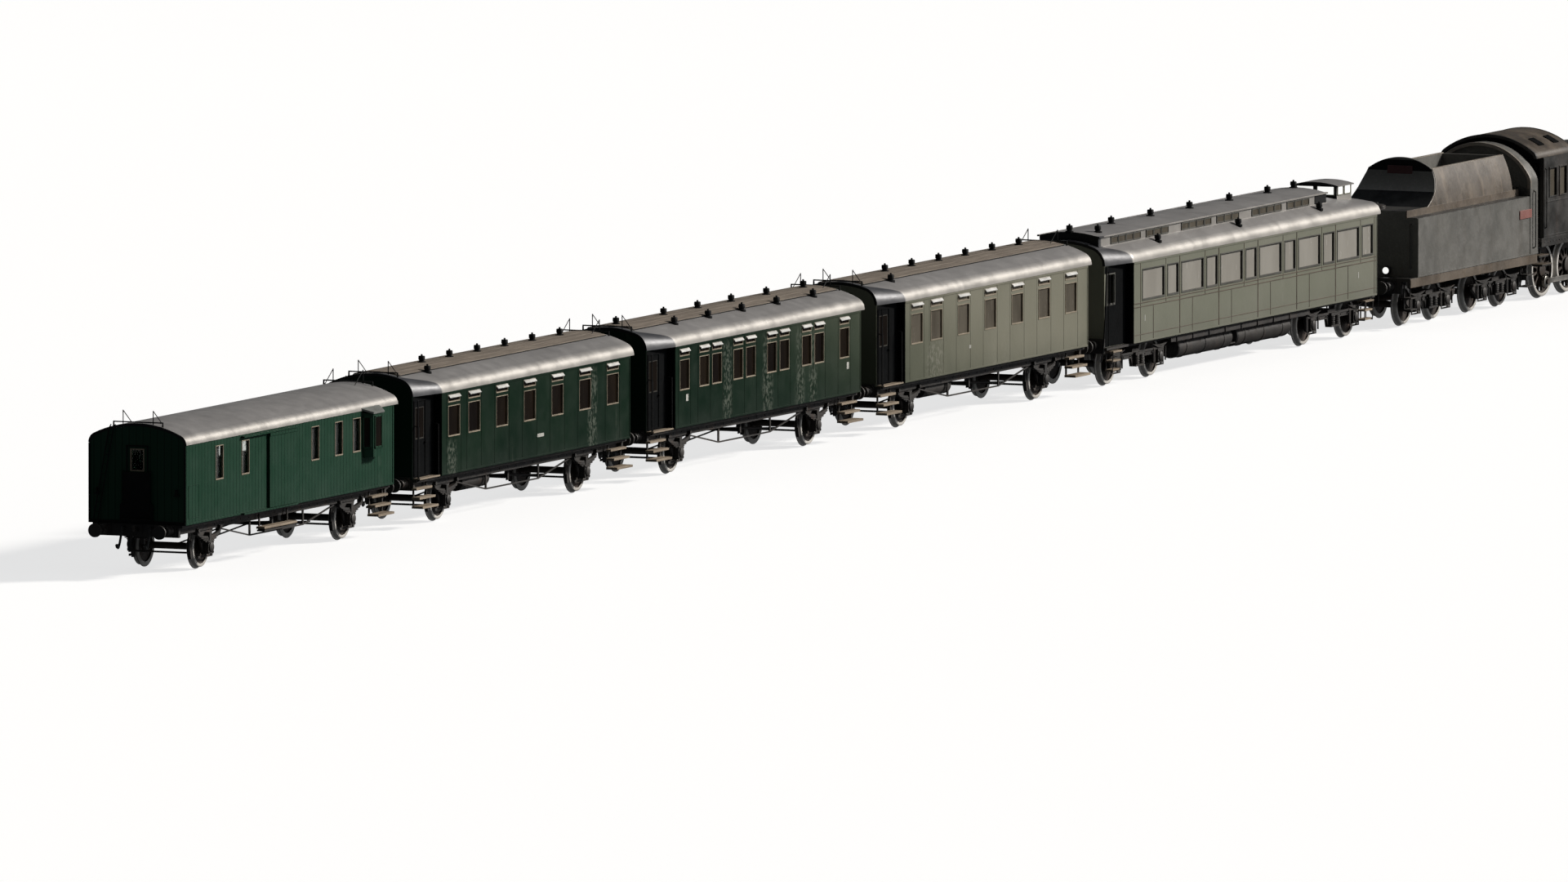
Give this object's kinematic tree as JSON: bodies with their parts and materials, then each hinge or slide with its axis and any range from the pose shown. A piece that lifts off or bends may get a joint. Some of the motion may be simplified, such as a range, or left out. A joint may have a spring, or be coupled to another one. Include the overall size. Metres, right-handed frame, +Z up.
{
  "type": "model train",
  "caption": "HO scale model steam train: luggage van, four-wheel coaches with door recesses, long clerestory bogie coach, tender and locomotive.",
  "frame": {"origin": "middle of the train's length and width, at the bottom of the wheel flanges", "axes": "+X along the track towards the locomotive, +Z up, -Y is the side the picture shows"},
  "size_m": [1.0894, 0.0356, 0.05],
  "materials": {
    "van_green": "satin",
    "coach_green": "satin",
    "grey_green": "satin",
    "pale_grey_green": "satin",
    "roof_grey": "satin",
    "frame_black": "matt",
    "engine_black": "satin",
    "wheel_steel": "turned",
    "rod_steel": "brushed",
    "dark_steel": "satin",
    "clear_glazing": "clear"
  },
  "bodies": {
    "van": {"van_body": "van_green", "van_roof": "roof_grey", "van_underframe": "frame_black", "van_glazing": "clear_glazing"},
    "van_door": {"van_sliding_door": "van_green"},
    "coach_1": {"coach_1_body": "coach_green", "coach_1_roof": "roof_grey", "coach_1_underframe": "frame_black", "coach_1_glazing": "clear_glazing"},
    "coach_2": {"coach_2_body": "coach_green", "coach_2_roof": "roof_grey", "coach_2_underframe": "frame_black", "coach_2_glazing": "clear_glazing"},
    "coach_3": {"coach_3_body": "grey_green", "coach_3_roof": "roof_grey", "coach_3_underframe": "frame_black", "coach_3_glazing": "clear_glazing"},
    "saloon": {"saloon_body": "pale_grey_green", "saloon_roof": "roof_grey", "saloon_underframe": "frame_black", "saloon_glazing": "clear_glazing"},
    "tender": {"tender_tank": "engine_black", "tender_underframe": "frame_black"},
    "loco": {"loco_frame": "frame_black", "loco_boiler": "engine_black", "loco_cab": "engine_black"},
    "pilot_truck": {"loco_pilot_truck": "frame_black"},
    "van_rear_wheels": {"van_rear_wheelset": "wheel_steel"},
    "van_front_wheels": {"van_front_wheelset": "wheel_steel"},
    "coach_1_rear_wheels": {"coach_1_rear_wheelset": "wheel_steel"},
    "coach_1_front_wheels": {"coach_1_front_wheelset": "wheel_steel"},
    "coach_2_rear_wheels": {"coach_2_rear_wheelset": "wheel_steel"},
    "coach_2_front_wheels": {"coach_2_front_wheelset": "wheel_steel"},
    "coach_3_rear_wheels": {"coach_3_rear_wheelset": "wheel_steel"},
    "coach_3_front_wheels": {"coach_3_front_wheelset": "wheel_steel"},
    "saloon_rear_bogie": {"saloon_rear_bogie": "frame_black"},
    "saloon_rear_bogie_wheels_1": {"saloon_rear_bogie_wheelset_1": "wheel_steel"},
    "saloon_rear_bogie_wheels_2": {"saloon_rear_bogie_wheelset_2": "wheel_steel"},
    "saloon_front_bogie": {"saloon_front_bogie": "frame_black"},
    "saloon_front_bogie_wheels_1": {"saloon_front_bogie_wheelset_1": "wheel_steel"},
    "saloon_front_bogie_wheels_2": {"saloon_front_bogie_wheelset_2": "wheel_steel"},
    "tender_rear_bogie": {"tender_rear_bogie": "frame_black"},
    "tender_rear_bogie_wheels_1": {"tender_rear_bogie_wheelset_1": "wheel_steel"},
    "tender_rear_bogie_wheels_2": {"tender_rear_bogie_wheelset_2": "wheel_steel"},
    "tender_front_bogie": {"tender_front_bogie": "frame_black"},
    "tender_front_bogie_wheels_1": {"tender_front_bogie_wheelset_1": "wheel_steel"},
    "tender_front_bogie_wheels_2": {"tender_front_bogie_wheelset_2": "wheel_steel"},
    "pilot_wheels": {"loco_pilot_wheelset": "wheel_steel"},
    "driver_1": {"loco_driver_1": "wheel_steel"},
    "driver_2": {"loco_driver_2": "wheel_steel"},
    "driver_3": {"loco_driver_3": "wheel_steel"},
    "near_rod": {"loco_near_coupling_rod": "rod_steel"},
    "far_rod": {"loco_far_coupling_rod": "rod_steel"},
    "drawbar_1": {"drawbar_1": "dark_steel"},
    "drawbar_2": {"drawbar_2": "dark_steel"},
    "drawbar_3": {"drawbar_3": "dark_steel"},
    "drawbar_4": {"drawbar_4": "dark_steel"},
    "drawbar_5": {"drawbar_5": "dark_steel"},
    "drawbar_6": {"drawbar_6": "dark_steel"}
  },
  "joints": [
    {"name": "van_rear_wheels_spin", "type": "hinge", "parent": "van", "child": "van_rear_wheels", "pos_m": [-0.51415, 0, 0.00635], "axis": [0, 1, 0], "continuous": true},
    {"name": "van_front_wheels_spin", "type": "hinge", "parent": "van", "child": "van_front_wheels", "pos_m": [-0.41495, 0, 0.00635], "axis": [0, 1, 0], "continuous": true},
    {"name": "van_door_slide", "type": "slide", "parent": "van", "child": "van_door", "axis": [-1, 0, 0], "range_m": [0, 0.0185]},
    {"name": "coach_1_rear_wheels_spin", "type": "hinge", "parent": "coach_1", "child": "coach_1_rear_wheels", "pos_m": [-0.34785, 0, 0.00635], "axis": [0, 1, 0], "continuous": true},
    {"name": "coach_1_front_wheels_spin", "type": "hinge", "parent": "coach_1", "child": "coach_1_front_wheels", "pos_m": [-0.24875, 0, 0.00635], "axis": [0, 1, 0], "continuous": true},
    {"name": "coach_2_rear_wheels_spin", "type": "hinge", "parent": "coach_2", "child": "coach_2_rear_wheels", "pos_m": [-0.18155, 0, 0.00635], "axis": [0, 1, 0], "continuous": true},
    {"name": "coach_2_front_wheels_spin", "type": "hinge", "parent": "coach_2", "child": "coach_2_front_wheels", "pos_m": [-0.08245, 0, 0.00635], "axis": [0, 1, 0], "continuous": true},
    {"name": "coach_3_rear_wheels_spin", "type": "hinge", "parent": "coach_3", "child": "coach_3_rear_wheels", "pos_m": [-0.01525, 0, 0.00635], "axis": [0, 1, 0], "continuous": true},
    {"name": "coach_3_front_wheels_spin", "type": "hinge", "parent": "coach_3", "child": "coach_3_front_wheels", "pos_m": [0.08385, 0, 0.00635], "axis": [0, 1, 0], "continuous": true},
    {"name": "saloon_rear_bogie_swivel", "type": "hinge", "parent": "saloon", "child": "saloon_rear_bogie", "pos_m": [0.15255, 0, 0.01035], "axis": [0, 0, 1], "range_deg": [-8, 8]},
    {"name": "saloon_rear_bogie_wheels_1_spin", "type": "hinge", "parent": "saloon_rear_bogie", "child": "saloon_rear_bogie_wheels_1", "pos_m": [0.13655, 0, 0.00635], "axis": [0, 1, 0], "continuous": true},
    {"name": "saloon_rear_bogie_wheels_2_spin", "type": "hinge", "parent": "saloon_rear_bogie", "child": "saloon_rear_bogie_wheels_2", "pos_m": [0.16855, 0, 0.00635], "axis": [0, 1, 0], "continuous": true},
    {"name": "saloon_front_bogie_swivel", "type": "hinge", "parent": "saloon", "child": "saloon_front_bogie", "pos_m": [0.29835, 0, 0.01035], "axis": [0, 0, 1], "range_deg": [-8, 8]},
    {"name": "saloon_front_bogie_wheels_1_spin", "type": "hinge", "parent": "saloon_front_bogie", "child": "saloon_front_bogie_wheels_1", "pos_m": [0.28235, 0, 0.00635], "axis": [0, 1, 0], "continuous": true},
    {"name": "saloon_front_bogie_wheels_2_spin", "type": "hinge", "parent": "saloon_front_bogie", "child": "saloon_front_bogie_wheels_2", "pos_m": [0.31435, 0, 0.00635], "axis": [0, 1, 0], "continuous": true},
    {"name": "tender_rear_bogie_swivel", "type": "hinge", "parent": "tender", "child": "tender_rear_bogie", "pos_m": [0.3689, 0, 0.01035], "axis": [0, 0, 1], "range_deg": [-8, 8]},
    {"name": "tender_rear_bogie_wheels_1_spin", "type": "hinge", "parent": "tender_rear_bogie", "child": "tender_rear_bogie_wheels_1", "pos_m": [0.3577, 0, 0.00635], "axis": [0, 1, 0], "continuous": true},
    {"name": "tender_rear_bogie_wheels_2_spin", "type": "hinge", "parent": "tender_rear_bogie", "child": "tender_rear_bogie_wheels_2", "pos_m": [0.3801, 0, 0.00635], "axis": [0, 1, 0], "continuous": true},
    {"name": "tender_front_bogie_swivel", "type": "hinge", "parent": "tender", "child": "tender_front_bogie", "pos_m": [0.419, 0, 0.01035], "axis": [0, 0, 1], "range_deg": [-8, 8]},
    {"name": "tender_front_bogie_wheels_1_spin", "type": "hinge", "parent": "tender_front_bogie", "child": "tender_front_bogie_wheels_1", "pos_m": [0.4078, 0, 0.00635], "axis": [0, 1, 0], "continuous": true},
    {"name": "tender_front_bogie_wheels_2_spin", "type": "hinge", "parent": "tender_front_bogie", "child": "tender_front_bogie_wheels_2", "pos_m": [0.4302, 0, 0.00635], "axis": [0, 1, 0], "continuous": true},
    {"name": "pilot_truck_swivel", "type": "hinge", "parent": "loco", "child": "pilot_truck", "pos_m": [0.52215, 0, 0.0095], "axis": [0, 0, 1], "range_deg": [-8, 8]},
    {"name": "pilot_wheels_spin", "type": "hinge", "parent": "pilot_truck", "child": "pilot_wheels", "pos_m": [0.52215, 0, 0.0055], "axis": [0, 1, 0], "continuous": true},
    {"name": "driver_1_spin", "type": "hinge", "parent": "loco", "child": "driver_1", "pos_m": [0.46245, 0, 0.00865], "axis": [0, 1, 0], "continuous": true},
    {"name": "driver_2_spin", "type": "hinge", "parent": "loco", "child": "driver_2", "pos_m": [0.48145, 0, 0.00865], "axis": [0, 1, 0], "continuous": true},
    {"name": "driver_3_spin", "type": "hinge", "parent": "loco", "child": "driver_3", "pos_m": [0.50045, 0, 0.00865], "axis": [0, 1, 0], "continuous": true},
    {"name": "near_rod_pivot", "type": "hinge", "parent": "driver_1", "child": "near_rod", "pos_m": [0.46245, 0, 0.00505], "axis": [0, 1, 0], "continuous": true},
    {"name": "far_rod_pivot", "type": "hinge", "parent": "driver_1", "child": "far_rod", "pos_m": [0.46605, 0, 0.00865], "axis": [0, 1, 0], "continuous": true},
    {"name": "drawbar_4_rear_pin", "type": "hinge", "parent": "coach_3", "child": "drawbar_4", "pos_m": [0.10485, 0, 0.0096], "axis": [0, 0, 1], "range_deg": [-4, 4]},
    {"name": "drawbar_4_front_pin", "type": "hinge", "parent": "drawbar_4", "child": "saloon", "pos_m": [0.13085, 0, 0.0096], "axis": [0, 0, 1], "range_deg": [-4, 4]},
    {"name": "drawbar_5_rear_pin", "type": "hinge", "parent": "saloon", "child": "drawbar_5", "pos_m": [0.32005, 0, 0.0096], "axis": [0, 0, 1], "range_deg": [-4, 4]},
    {"name": "drawbar_5_front_pin", "type": "hinge", "parent": "drawbar_5", "child": "tender", "pos_m": [0.35005, 0, 0.0096], "axis": [0, 0, 1], "range_deg": [-4, 4]},
    {"name": "drawbar_6_rear_pin", "type": "hinge", "parent": "tender", "child": "drawbar_6", "pos_m": [0.43815, 0, 0.0096], "axis": [0, 0, 1], "range_deg": [-4, 4]},
    {"name": "drawbar_6_front_pin", "type": "hinge", "parent": "drawbar_6", "child": "loco", "pos_m": [0.45115, 0, 0.0096], "axis": [0, 0, 1], "range_deg": [-4, 4]},
    {"name": "drawbar_3_front_pin", "type": "hinge", "parent": "coach_3", "child": "drawbar_3", "pos_m": [-0.03625, 0, 0.0096], "axis": [0, 0, -1], "range_deg": [-4, 4]},
    {"name": "drawbar_3_rear_pin", "type": "hinge", "parent": "drawbar_3", "child": "coach_2", "pos_m": [-0.06145, 0, 0.0096], "axis": [0, 0, -1], "range_deg": [-4, 4]},
    {"name": "drawbar_2_front_pin", "type": "hinge", "parent": "coach_2", "child": "drawbar_2", "pos_m": [-0.20255, 0, 0.0096], "axis": [0, 0, -1], "range_deg": [-4, 4]},
    {"name": "drawbar_2_rear_pin", "type": "hinge", "parent": "drawbar_2", "child": "coach_1", "pos_m": [-0.22775, 0, 0.0096], "axis": [0, 0, -1], "range_deg": [-4, 4]},
    {"name": "drawbar_1_front_pin", "type": "hinge", "parent": "coach_1", "child": "drawbar_1", "pos_m": [-0.36885, 0, 0.0096], "axis": [0, 0, -1], "range_deg": [-4, 4]},
    {"name": "drawbar_1_rear_pin", "type": "hinge", "parent": "drawbar_1", "child": "van", "pos_m": [-0.39595, 0, 0.0096], "axis": [0, 0, -1], "range_deg": [-4, 4]}
  ],
  "couplings": [
    {"joint": "near_rod_pivot", "follows": "driver_1_spin", "ratio": -1},
    {"joint": "far_rod_pivot", "follows": "driver_1_spin", "ratio": -1},
    {"joint": "driver_2_spin", "follows": "driver_1_spin", "ratio": 1},
    {"joint": "driver_3_spin", "follows": "driver_1_spin", "ratio": 1}
  ]
}
